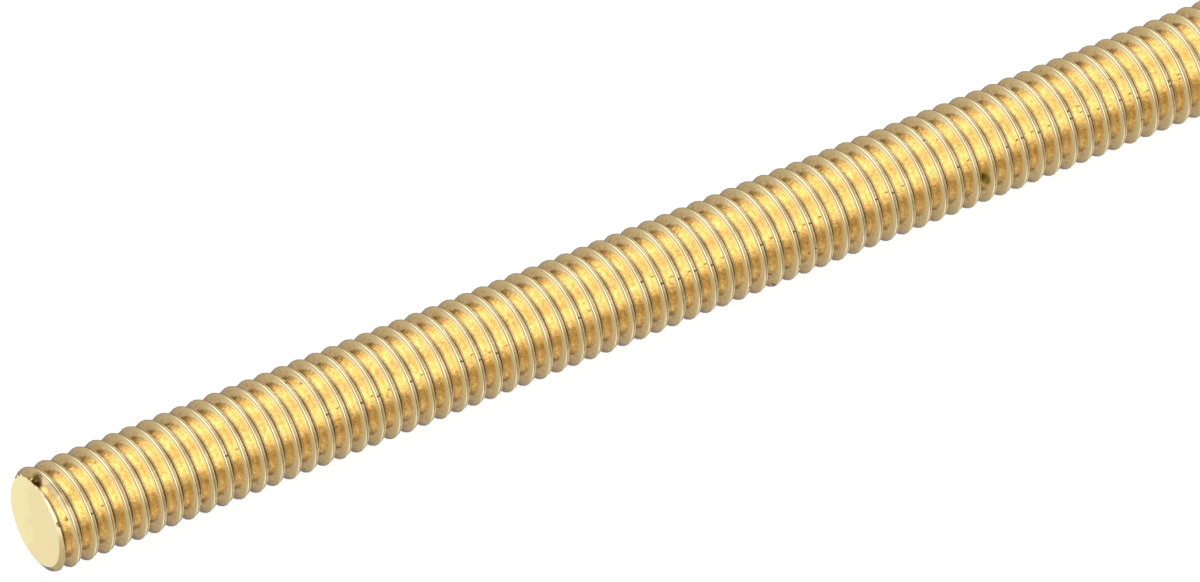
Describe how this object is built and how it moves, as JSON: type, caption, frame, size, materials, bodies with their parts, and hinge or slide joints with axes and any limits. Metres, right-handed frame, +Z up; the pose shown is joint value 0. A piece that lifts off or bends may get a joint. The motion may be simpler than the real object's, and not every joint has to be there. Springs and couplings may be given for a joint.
{
  "type": "threaded rod",
  "caption": "Brass rod with a coarse right-hand M4 thread along its whole length and plain sawn ends, cut to length and used with nuts to hold or hang things.",
  "frame": {"origin": "centre of the sawn end face at the rod's start", "axes": "+X along the rod from the start face to the far face, +Z up when the rod lies level"},
  "size_m": [0.07, 0.004, 0.004],
  "materials": {
    "brass": "bright rolled thread with light handling marks, sawn ends"
  },
  "bodies": {
    "root": {"threaded_rod": "brass"}
  },
  "joints": []
}
